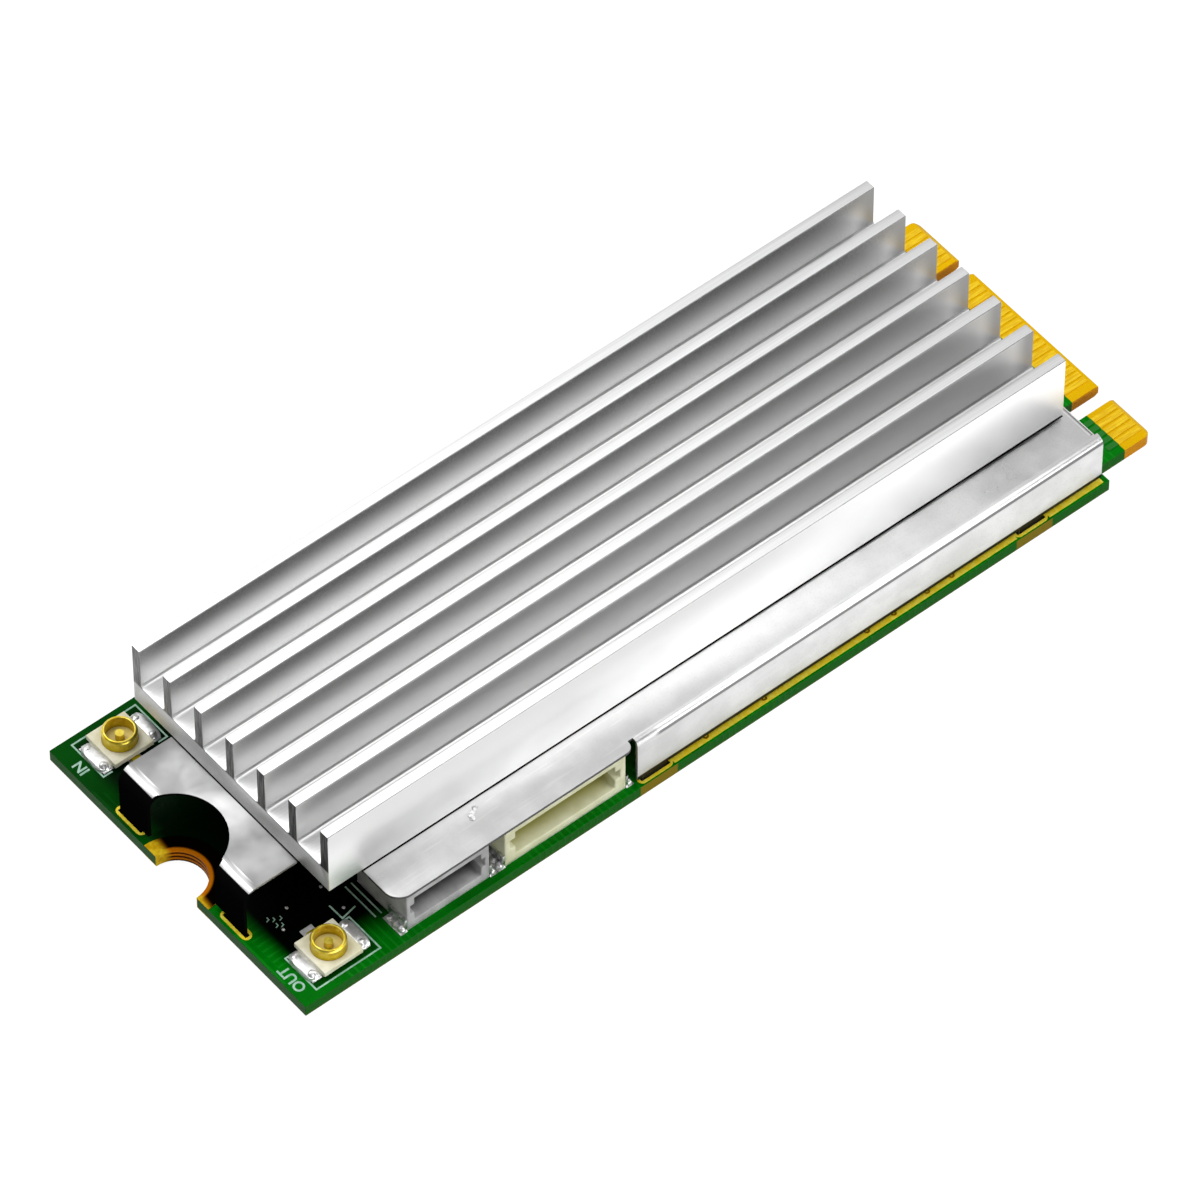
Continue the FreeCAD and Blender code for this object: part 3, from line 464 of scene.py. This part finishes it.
def board_finish():
    """Green mask over copper: faint tracks under the mask, a bare tongue and cut glass edges."""
    finish = Finish("green_board", srgb(0, 96, 14), 0.35, shine=0.03)
    near = NEAR / MM
    track_rate = 7.2
    via_radius = 0.07

    cloud = finish.noise(0.35, 4.0)
    mask = finish.mix(finish.between(cloud, 0.3, 0.7), srgb(0, 104, 8), srgb(0, 124, 12))

    # Tracks run straight in patches, some along the card and some across it.
    patch = finish.cells(0.22, distance="CHEBYCHEV").outputs["Color"]
    choice = finish.tree.nodes.new("ShaderNodeSeparateColor")
    finish.tree.links.new(patch, choice.inputs[0])
    turned = finish.between(choice.outputs["Red"], 0.499, 0.501)
    along = finish.math("ABSOLUTE", finish.math("SINE", finish.math("MULTIPLY", finish.y, track_rate)))
    across = finish.math("ABSOLUTE", finish.math("SINE", finish.math("MULTIPLY", finish.x, track_rate)))
    lanes = finish.mix(turned, finish.between(along, 0.8, 0.95), finish.between(across, 0.8, 0.95))
    filled = finish.between(choice.outputs["Green"], 0.42, 0.44)
    tracks = finish.math("MULTIPLY", lanes, filled)
    mask = finish.mix(finish.math("MULTIPLY", tracks, 0.34), mask, srgb(26, 146, 34))

    # Tented vias show as small dimples in the mask.
    dots = finish.cells(0.62).outputs["Distance"]
    dimple = finish.math("SUBTRACT", 1.0, finish.between(dots, via_radius, via_radius + 0.04))
    mask = finish.mix(finish.math("MULTIPLY", dimple, 0.6), mask, srgb(0, 58, 8))

    # Painted shade: the upper face is painted dark beside and behind the shield's tab and inside the printed
    # frames, and darker on the left by the near end.
    beside = finish.math("ABSOLUTE", finish.y)
    upper = finish.between(finish.facing_z, 0.4, 0.6)
    near_end = finish.between(finish.x, near + 12.0, near + 9.0)
    beside_tab = finish.both(finish.between(finish.x, near + 0.6, near + 1.7),
                             finish.between(beside, 9.7, 8.0), near_end)
    beside_notch = finish.both(finish.between(finish.x, near + 0.2, near + 1.4),
                               finish.between(beside, 3.4, 2.9), near_end)
    framed_shade = finish.both(upper, finish.inside(finish.x, near + 1.2, near + 5.4, 0.2),
                         finish.inside(beside, 7.9, 10.4, 0.2))
    left_shade = finish.both(upper, finish.between(finish.y, -2.0, 4.0),
                       finish.between(finish.x, near + 8.0, near + 5.0))
    shade = finish.both(upper, finish.math("MAXIMUM", beside_tab, beside_notch))
    mask = finish.mix(finish.math("MULTIPLY", framed_shade, 0.7), mask, srgb(0, 12, 0))
    mask = finish.mix(shade, mask, srgb(0, 3, 0))
    mask = finish.mix(finish.math("MULTIPLY", left_shade, 0.7), mask, srgb(0, 30, 4))

    # The tongue is bare between its contacts, and gold tinted by them.
    bare = unmasked(finish)
    laminate = finish.mix(finish.noise(9.0, 2.0), srgb(216, 168, 0), srgb(232, 184, 4))
    top = finish.mix(bare, mask, laminate)

    # Cut edges: green glass with a paler resin line below, orange brown round the tongue.
    weave = finish.noise(10.0, 3.0, finish.stretch(0.3, 0.3, 3.0))
    low = finish.math("SUBTRACT", 1.0, finish.between(finish.z, 0.1, 0.24))
    glass = finish.mix(finish.between(weave, 0.3, 0.7), srgb(0, 84, 0), srgb(4, 106, 6))
    glass = finish.mix(finish.math("MULTIPLY", low, 0.7), glass, srgb(60, 90, 4))
    resin = finish.mix(finish.between(weave, 0.3, 0.7), srgb(206, 130, 0), srgb(226, 156, 0))
    resin = finish.mix(finish.between(finish.facing_x, 0.6, 0.8), resin, srgb(160, 136, 4))
    edge = finish.mix(bare, glass, resin)
    plated = finish.math("MAXIMUM", beside_slot(finish, NEAR_SLOT_X), beside_slot(finish, FAR_SLOT_X))
    edge = finish.mix(plated, edge, srgb(132, 114, 6))
    face = finish.between(finish.math("ABSOLUTE", finish.facing_z), 0.5, 0.6)
    finish.colour(finish.mix(face, edge, top))
    finish.rough(finish.between(cloud, 0.2, 0.8), 0.24, 0.4)
    height = finish.math("ADD", finish.math("MULTIPLY", tracks, 0.6), finish.math("MULTIPLY", dimple, -1.0))
    finish.bump(height, 0.02 * MM, 0.5)
    return finish.material


def plain_finish(name, dark, light, roughness, scale, coat=0.0):
    """A moulded or fired surface: two close tones and a fine grain."""
    finish = Finish(name, light, roughness, coat=coat)
    cloud = finish.noise(scale, 4.0)
    fine = finish.noise(scale * 9, 2.0)
    tone = finish.math("MULTIPLY_ADD", fine, 0.35, finish.math("MULTIPLY", cloud, 0.65))
    finish.colour(finish.mix(finish.between(tone, 0.3, 0.7), dark, light))
    finish.rough(cloud, roughness - 0.06, roughness + 0.08)
    finish.bump(fine, 0.01 * MM, 0.5)
    return finish.material


def jack_base_finish():
    """Cream moulding with a painted gold reflection of the ring round it inside the jack."""
    finish = Finish("jack_moulding", srgb(228, 222, 188), 0.45, shine=0.3)
    ring_radius = 0.8
    cloud = finish.noise(1.2, 4.0)
    skin = finish.mix(finish.between(cloud, 0.3, 0.7), srgb(228, 223, 190), srgb(250, 247, 226))
    low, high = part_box("in_jack_shell")
    middle = (low + high) / 2 / MM
    # Painted reflection: inside the ring the moulding is tinted gold.
    inside = finish.between(finish.off_line(middle.x, middle.y), ring_radius + 0.06, ring_radius)
    finish.colour(finish.mix(inside, skin, srgb(232, 214, 138)))
    finish.rough(cloud, 0.4, 0.52)
    return finish.material


def header_finish(name, node, wall, dark, light, mouth_shade):
    """A moulded housing whose mouth is painted darker towards its back, as painted shade."""
    finish = Finish(name, light, 0.45, shine=0.3)
    floor, roof = 0.3, 0.7
    low, high = (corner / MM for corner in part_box(node))
    cloud = finish.noise(0.8, 4.0)
    fine = finish.noise(7.0, 2.0)
    skin = finish.mix(finish.between(cloud, 0.3, 0.7), dark, light)
    # Painted shade deepens into the mouth.
    mouth = finish.both(finish.inside(finish.x, low.x + wall, high.x - wall, 0.02),
                        finish.inside(finish.z, low.z + floor, high.z - roof, 0.1))
    depth = finish.between(finish.y, low.y - 0.2, low.y + 1.5)
    finish.colour(finish.mix(finish.both(mouth, depth), skin, mouth_shade))
    finish.rough(cloud, 0.4, 0.52)
    finish.bump(fine, 0.01 * MM, 0.5)
    return finish.material


FINISHES = {
    "board_laminate": board_finish(),
    "gold_plating": gold_finish(),
    "contact_gold": contact_finish(),
    "strip_gold": strip_finish(),
    "tinned_sheet": shield_finish(),
    "heatsink_metal": heatsink_finish(),
    "thermal_tape": plain_finish("thermal_tape", grey(24), grey(46), 0.7, 2.0),
    "chip_moulding": plain_finish("chip_moulding", grey(26), grey(40), 0.55, 1.2),
    "crystal_can": bright_tin_finish("crystal_can", 190, 0.3),
    "thermal_pad": plain_finish("thermal_pad", srgb(120, 132, 148), srgb(142, 154, 168), 0.8, 1.0),
    "inductor_ferrite": plain_finish("inductor_ferrite", grey(52), grey(72), 0.6, 2.0),
    "capacitor_ceramic": plain_finish("capacitor_ceramic", srgb(140, 112, 78), srgb(176, 146, 108),
                                      0.45, 3.0),
    "resistor_ceramic": plain_finish("resistor_ceramic", grey(22), grey(36), 0.35, 3.0, coat=0.4),
    "jack_moulding": jack_base_finish(),
    "solder_tin": solder_finish(),
    "land_gold": land_finish(),
    "jack_gold": jack_gold_finish(),
    "header_moulding_grey": header_finish("header_grey", "small_header_housing", 0.5,
                                          grey(170), grey(204), grey(6)),
    "header_moulding_cream": header_finish("header_cream", "large_header_housing", 0.7,
                                           srgb(226, 226, 186), srgb(246, 246, 214), srgb(158, 154, 44)),
    "terminal_tin": bright_tin_finish("terminal_tin", 222, 0.26),
    "silk_ink": plain_finish("silk_ink", srgb(124, 172, 148), srgb(186, 220, 202), 0.6, 3.0),
}


# Pieces

SAME_POINT = 0.002 * MM
FLAT_ANGLE = math.radians(1.0)
SHARP_ANGLE = math.radians(40)


def keep_piece(piece, slot, *replaced, finish=None):
    piece.data.materials.clear()
    piece.data.materials.append(FINISHES[finish or slot])
    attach(piece, BODY)
    if replaced:
        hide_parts(*replaced)
    return piece


def piece_from(name, mesh, slot, *replaced, finish=None, smooth_angle=35):
    """Makes the object for a bmesh, smooth except over sharp edges."""
    data = bpy.data.meshes.new(name)
    mesh.to_mesh(data)
    mesh.free()
    piece = bpy.data.objects.new(name, data)
    bpy.context.scene.collection.objects.link(piece)
    data.shade_smooth()
    data.set_sharp_from_angle(angle=math.radians(smooth_angle))
    return keep_piece(piece, slot, *replaced, finish=finish)


def softened(node, name, slot, width, segments=2, finish=None):
    """The CAD piece with its sharp edges broken by a small round, as a made thing has."""
    mesh = bmesh.new()
    mesh.from_mesh(frame["nodes"][node].data)
    bmesh.ops.remove_doubles(mesh, verts=mesh.verts, dist=SAME_POINT)
    bmesh.ops.dissolve_limit(mesh, angle_limit=FLAT_ANGLE, verts=mesh.verts, edges=mesh.edges)
    sharp = [edge for edge in mesh.edges if len(edge.link_faces) == 2
             and edge.calc_face_angle(0.0) > SHARP_ANGLE]
    bmesh.ops.bevel(mesh, geom=sharp, offset=width, segments=segments, profile=0.5,
                    affect="EDGES", clamp_overlap=True, offset_type="OFFSET")
    return piece_from(name, mesh, slot, node, finish=finish, smooth_angle=30)


SPECIAL_FINISH = {
    "edge_contacts_top": "contact_gold",
    "edge_contacts_bottom": "contact_gold",
    "screw_pad": "land_gold",
    "ground_strips": "strip_gold",
    "shield_slot_plating": "strip_gold",
    "in_jack_pin": "jack_gold",
    "out_jack_pin": "jack_gold",
}


def dress_cad():
    """The kept CAD nodes get their finish on their own material slots."""
    for row in frame["record"]["subparts"]:
        node = frame["nodes"][row["node"]]
        finish = SPECIAL_FINISH.get(row["node"], row["material_slot"])
        for slot in node.material_slots:
            slot.material = FINISHES[finish]


def soften_metalwork():
    softened("heatsink", "finned_heatsink", "heatsink_metal", 0.05 * MM)
    softened("shield", "folded_shield", "tinned_sheet", 0.03 * MM)
    softened("circuit_board", "board", "board_laminate", 0.02 * MM, segments=1)
    softened("small_header_housing", "small_header_shell", "header_moulding_grey", 0.08 * MM)
    softened("large_header_housing", "large_header_shell", "header_moulding_cream", 0.08 * MM)
    for side in ("in", "out"):
        softened(f"{side}_jack_shell", f"{side}_jack_ring", "gold_plating", 0.03 * MM, finish="jack_gold")
        softened(f"{side}_jack_insulator", f"{side}_jack_base", "jack_moulding", 0.05 * MM)


# Printing on the board

INK_RISE = 0.012 * MM
INK_WIDTH = 0.1 * MM
TICK_WIDTH = 0.06 * MM
LETTER_HEIGHT = 0.62 * MM
CAPITAL_SHARE = 0.7

# Marks in millimetres: along from the near edge, and left from the card's middle.
FRAME_NEAR, FRAME_FAR, FRAME_RETURN = 1.15, 5.45, 0.55
FRAME_SIDES = ((7.75, 10.52), (-7.85, -10.48))
ANGLE_MARK = ((5.1, -6.65), (5.12, -7.7), (6.1, -7.5))
TWIN_LINES_X = (6.53, 6.93)
TWIN_LINES_Y = (-6.2, -8.7)
TICKS = ((1.9, -5.35), (2.15, -5.55), (2.05, -5.95), (2.5, -5.7), (2.3, -6.1))
TICK_LONG, TICK_SHORT = 0.16, 0.05
IN_PLACE = (0.6, 8.98)
OUT_PLACE = (0.6, -9.15)


def add_stroke(mesh, points, width=INK_WIDTH):
    """A flat printed line through the given marks."""
    places = [on_card(x, y) for x, y in points]
    lead = -width / 2
    for start, end in zip(places, places[1:]):
        way = (end - start).normalized()
        side = Vector((-way.y, way.x, 0)) * width / 2
        start, end = start + way * lead, end + way * width / 2
        lead = width / 2
        low = [start - side, end - side, end + side, start + side]
        add_prism(mesh, low, INK_RISE)


def on_card(x, y, height=TOP):
    """The point over a mark that is given in millimetres."""
    return Vector((NEAR + x * MM, y * MM, height))


def add_prism(mesh, outline, rise):
    """An upright block on a flat outline."""
    low = [mesh.verts.new(point) for point in outline]
    high = [mesh.verts.new(point + Vector((0, 0, rise))) for point in outline]
    mesh.faces.new(list(reversed(low)))
    mesh.faces.new(high)
    count = len(outline)
    for k in range(count):
        after = (k + 1) % count
        mesh.faces.new((low[k], low[after], high[after], high[k]))


def silk_lines():
    """The frames round the jacks, and the small marks between them."""
    mesh = bmesh.new()
    for inner, outer in FRAME_SIDES:
        add_stroke(mesh, ((FRAME_NEAR + FRAME_RETURN, inner), (FRAME_NEAR, inner), (FRAME_NEAR, outer),
                          (FRAME_FAR, outer), (FRAME_FAR, inner), (FRAME_FAR - FRAME_RETURN, inner)))
    add_stroke(mesh, ANGLE_MARK)
    for x in TWIN_LINES_X:
        add_stroke(mesh, [(x, y) for y in TWIN_LINES_Y])
    for x, y in TICKS:
        corner = (x + TICK_LONG, y + TICK_SHORT)
        add_stroke(mesh, ((x, y), corner, (corner[0], y + 0.2)), TICK_WIDTH)
    piece_from("silk_lines", mesh, "board_laminate", finish="silk_ink")


def silk_word(name, word, place):
    """A printed word whose letters stand with their tops to the near edge."""
    curve = bpy.data.curves.new(name, "FONT")
    curve.body = word
    curve.size = LETTER_HEIGHT / CAPITAL_SHARE
    curve.align_x = "CENTER"
    curve.align_y = "CENTER"
    curve.extrude = INK_RISE / 2
    curve.offset = 0.02 * MM
    curve.resolution_u = 3
    written = bpy.data.objects.new(name, curve)
    bpy.context.scene.collection.objects.link(written)
    written.matrix_world = (Matrix.Translation(on_card(*place, TOP + INK_RISE / 2))
                            @ Matrix.Rotation(math.pi / 2, 4, "Z"))
    bpy.context.view_layer.update()
    data = bpy.data.meshes.new_from_object(written)
    data.transform(written.matrix_world)
    bpy.data.objects.remove(written)
    piece = bpy.data.objects.new(name, data)
    bpy.context.scene.collection.objects.link(piece)
    keep_piece(piece, "board_laminate", finish="silk_ink")


# Solder

# Marks on the board and on the flange, and the length of each drop of the splash, in millimetres.
TEST_POINTS = ((2.25, -6.3), (3.27, -5.29), (5.53, -5.34), (5.61, -7.18))
SPLASH = ((13.1, -8.74, 0.6), (12.9, -9.05, 0.34), (13.42, -8.58, 0.3))

# Drops in millimetres: along the card, across it and high.
HOLD_DOWN_DROP = Vector((0.42, 0.56, 0.62))
HOLD_DOWN_STEP = Vector((0.0, 0.0, 0.1))
TAIL_DROP = Vector((0.42, 0.6, 0.3))
JACK_BAR = Vector((0.95, 2.15, 0.56))
JACK_BAR_INSIDE = Vector((0.95, 2.15, 0.5))
JACK_LUMP = Vector((0.62, 0.6, 0.56))
TEST_DOME = Vector((0.2, 0.2, 0.12))
SPLASH_WIDE, SPLASH_TALL = 0.3, 0.16
FOOT_LEVEL = -0.15


def add_blob(mesh, centre, size, lumps=0.18, seed=0.0, square=1.0):
    """A frozen drop of solder of a size in millimetres, with a flat foot and an uneven skin.

    A square under 1 fills its corners.
    """
    made = bmesh.ops.create_icosphere(mesh, subdivisions=3, radius=1.0)
    for vertex in made["verts"]:
        shape = vertex.co.copy()
        shape.x = math.copysign(abs(shape.x) ** square, shape.x)
        shape.y = math.copysign(abs(shape.y) ** square, shape.y)
        shape *= 1 + lumps * noise.noise(shape * 1.7 + Vector((seed, seed * 0.7, 0)))
        shape.z = max(shape.z, FOOT_LEVEL)
        vertex.co = centre + shape * size * MM / 2


def solder_joints():
    """The solder at the headers and the jacks."""
    mesh = bmesh.new()
    for side in ("small", "large"):
        hold_down_joints(mesh, *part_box(f"{side}_header_hold_downs"))
        tail_joints(mesh, *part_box(f"{side}_header_housing"))
    for side in ("in", "out"):
        jack_joints(mesh, *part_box(f"{side}_jack_shell"))
    piece_from("solder_joints", mesh, "solder_tin")


def hold_down_joints(mesh, low, high):
    """Three drops along each outer side of a header, lower towards the back."""
    for x, out in ((low.x, -1), (high.x, 1)):
        for k, y in enumerate((low.y + 0.2 * MM, low.y + 0.65 * MM, high.y - 0.25 * MM)):
            place = Vector((x - out * 0.1 * MM, y, low.z + 0.05 * MM))
            add_blob(mesh, place, HOLD_DOWN_DROP - k * HOLD_DOWN_STEP, seed=k + x / MM)


def tail_joints(mesh, low, high):
    """A drop on each terminal's tail, behind the header."""
    rows = round((high.x - low.x) / MM) - 2
    for k in range(rows):
        x = (low.x + high.x) / 2 + (k - (rows - 1) / 2) * MM
        add_blob(mesh, Vector((x, high.y + 0.55 * MM, TOP + COPPER)), TAIL_DROP, seed=k)


def jack_joints(mesh, low, high):
    """A long bar of solder at each end of a jack's ring, with two lumps on it."""
    middle = (low.y + high.y) / 2
    for x, bar in ((low.x + 0.08 * MM, JACK_BAR), (high.x - 0.05 * MM, JACK_BAR_INSIDE)):
        add_blob(mesh, Vector((x, middle, TOP + 0.08 * MM)), bar, seed=x / MM, lumps=0.16, square=0.55)
        for k, shift in enumerate((-0.72, 0.72)):
            place = Vector((x - 0.04 * MM, middle + shift * MM, TOP + 0.12 * MM))
            add_blob(mesh, place, JACK_LUMP, seed=k + x / MM, lumps=0.3)


def test_points():
    """Small tinned test points, each a low dome."""
    mesh = bmesh.new()
    for k, (x, y) in enumerate(TEST_POINTS):
        add_blob(mesh, on_card(x, y, TOP + 0.01 * MM), TEST_DOME, seed=k)
    piece_from("test_points", mesh, "solder_tin")


def flange_splash():
    """A small splash of solder that froze on the flange."""
    mesh = bmesh.new()
    for k, (x, y, long) in enumerate(SPLASH):
        drop = Vector((long, SPLASH_WIDE, SPLASH_TALL))
        add_blob(mesh, on_card(x, y, SHIELD_TOP), drop, lumps=0.5, seed=k + 3.0)
    piece_from("flange_splash", mesh, "solder_tin")


# Small plated holes

VIA_LINE = SIDE - 0.42 * MM
VIAS_ALONG = (27.68, 31.74, 38.98, 40.88, 43.26, 44.99)
VIA_OUTER = 0.17 * MM
VIA_INNER = 0.08 * MM
VIA_RISE = 0.02 * MM


def via_rings():
    """Open vias in the right ground strip, each a gold ring with a dark bore."""
    mesh = bmesh.new()
    for x in VIAS_ALONG:
        add_ring(mesh, Vector((NEAR + x * MM, -VIA_LINE, TOP + COPPER)), VIA_OUTER, VIA_INNER, VIA_RISE)
    piece_from("via_rings", mesh, "gold_plating")


def add_ring(mesh, centre, outer, inner, rise, steps=20):
    """A flat ring with upright inner and outer walls."""
    rows = []
    for radius, lift in ((outer, 0.0), (outer, rise), (inner, rise), (inner, 0.0)):
        rows.append([mesh.verts.new(centre + Vector((radius * math.cos(turn), radius * math.sin(turn), lift)))
                     for turn in (2 * math.pi * k / steps for k in range(steps))])
    for row, following in zip(rows, rows[1:] + rows[:1]):
        for k in range(steps):
            after = (k + 1) % steps
            mesh.faces.new((row[k], row[after], following[after], following[k]))


# Studio

AZIMUTH = math.radians(-39.465)
ELEVATION = math.radians(51.504)
CAMERA_DISTANCE = 564.616 * MM
CAMERA_AIM = Vector((-2.0, 0.0, 2.0)) * MM
CAMERA_SHIFT_RIGHT = 0.814 * MM
CAMERA_SHIFT_UP = 0.017 * MM
FOCAL_PIXELS = 10477.9
IMAGE_PIXELS = 1200
SENSOR = 36.0
CLIP_NEAR, CLIP_FAR = 0.01, 10.0

FLOOR_HALF = 1.5
FLOOR_DROP = 0.01 * MM
FLOOR_TONE = 0.16
FLOOR_GLOW = 0.93

SKY_LEAN = (0.06, 0.45, 0.89)
SKY_RISE_FROM, SKY_RISE_FULL = 0.4, 0.92
SKY_DARK = 0.1
SKY_BRIGHT = 1.0


def aim_axes(azimuth, elevation):
    """The camera's right, up and backward directions."""
    back = Vector((math.sin(azimuth) * math.cos(elevation),
                   -math.cos(azimuth) * math.cos(elevation), math.sin(elevation)))
    right = Vector((math.cos(azimuth), math.sin(azimuth), 0))
    return right, back.cross(right), back


def make_camera():
    right, up, back = aim_axes(AZIMUTH, ELEVATION)
    data = bpy.data.cameras.new("camera")
    data.sensor_width = SENSOR
    data.lens = FOCAL_PIXELS / IMAGE_PIXELS * SENSOR
    data.clip_start = CLIP_NEAR
    data.clip_end = CLIP_FAR
    camera = bpy.data.objects.new("camera", data)
    bpy.context.scene.collection.objects.link(camera)
    spot = CAMERA_AIM + back * CAMERA_DISTANCE + right * CAMERA_SHIFT_RIGHT + up * CAMERA_SHIFT_UP
    camera.matrix_world = Matrix.Translation(spot) @ Matrix((right, up, back)).transposed().to_4x4()
    bpy.context.scene.camera = camera


def make_floor():
    """A pale floor that the camera and reflections see as white, with the card's shadow on it."""
    mesh = bmesh.new()
    bmesh.ops.create_grid(mesh, x_segments=1, y_segments=1, size=FLOOR_HALF)
    data = bpy.data.meshes.new("floor")
    mesh.to_mesh(data)
    mesh.free()
    floor = bpy.data.objects.new("floor", data)
    floor.location.z = -FLOOR_DROP
    bpy.context.scene.collection.objects.link(floor)
    material = bpy.data.materials.new("floor_white")
    material.use_nodes = True
    tree = material.node_tree
    shader = tree.nodes["Principled BSDF"]
    shader.inputs["Base Color"].default_value = (FLOOR_TONE,) * 3 + (1,)
    shader.inputs["Roughness"].default_value = 1.0
    path = tree.nodes.new("ShaderNodeLightPath")
    seen = tree.nodes.new("ShaderNodeMath")
    seen.operation = "MAXIMUM"
    tree.links.new(path.outputs["Is Camera Ray"], seen.inputs[0])
    tree.links.new(path.outputs["Is Glossy Ray"], seen.inputs[1])
    glow = tree.nodes.new("ShaderNodeMath")
    glow.operation = "MULTIPLY"
    glow.inputs[1].default_value = FLOOR_GLOW
    tree.links.new(seen.outputs[0], glow.inputs[0])
    shader.inputs["Emission Color"].default_value = (1, 1, 1, 1)
    tree.links.new(glow.outputs[0], shader.inputs["Emission Strength"])
    data.materials.append(material)


def add_lamp(name, spot, size, power):
    """A rectangular lamp that points at the card."""
    data = bpy.data.lights.new(name, "AREA")
    data.shape = "RECTANGLE"
    data.size, data.size_y = size
    data.energy = power
    lamp = bpy.data.objects.new(name, data)
    lamp.location = spot
    lamp.rotation_euler = (-Vector(spot)).to_track_quat("-Z", "Y").to_euler()
    bpy.context.scene.collection.objects.link(lamp)


def make_sky():
    """A bright ceiling that fades to a dark horizon, so that metal shows clear light and dark."""
    world = bpy.data.worlds.new("studio")
    bpy.context.scene.world = world
    world.use_nodes = True
    tree = world.node_tree
    direction = tree.nodes.new("ShaderNodeTexCoord")
    lean = tree.nodes.new("ShaderNodeVectorMath")
    lean.operation = "DOT_PRODUCT"
    lean.inputs[1].default_value = SKY_LEAN
    tree.links.new(direction.outputs["Generated"], lean.inputs[0])
    rise = tree.nodes.new("ShaderNodeMapRange")
    rise.interpolation_type = "SMOOTHSTEP"
    rise.inputs["From Min"].default_value = SKY_RISE_FROM
    rise.inputs["From Max"].default_value = SKY_RISE_FULL
    rise.inputs["To Min"].default_value = SKY_DARK
    rise.inputs["To Max"].default_value = SKY_BRIGHT
    tree.links.new(lean.outputs["Value"], rise.inputs["Value"])
    background = tree.nodes["Background"]
    background.inputs["Color"].default_value = (1, 1, 1, 1)
    tree.links.new(rise.outputs["Result"], background.inputs["Strength"])


def make_lamps():
    """Softboxes high on the left and high on the right, and a long bright card low on the right."""
    add_lamp("key", spot=(-0.14, 0.26, 0.5), size=(0.36, 0.36), power=1.05)
    add_lamp("right_high", spot=(0.23, -0.3, 0.47), size=(0.4, 0.4), power=1.3)
    add_lamp("right_card", spot=(0.05, -0.6, 0.06), size=(0.9, 0.11), power=2.0)


dress_cad()
soften_metalwork()
silk_lines()
silk_word("label_in", "IN", IN_PLACE)
silk_word("label_out", "OUT", OUT_PLACE)
solder_joints()
test_points()
flange_splash()
via_rings()
make_floor()
make_sky()
make_lamps()
make_camera()
bpy.context.scene.view_settings.view_transform = "Standard"
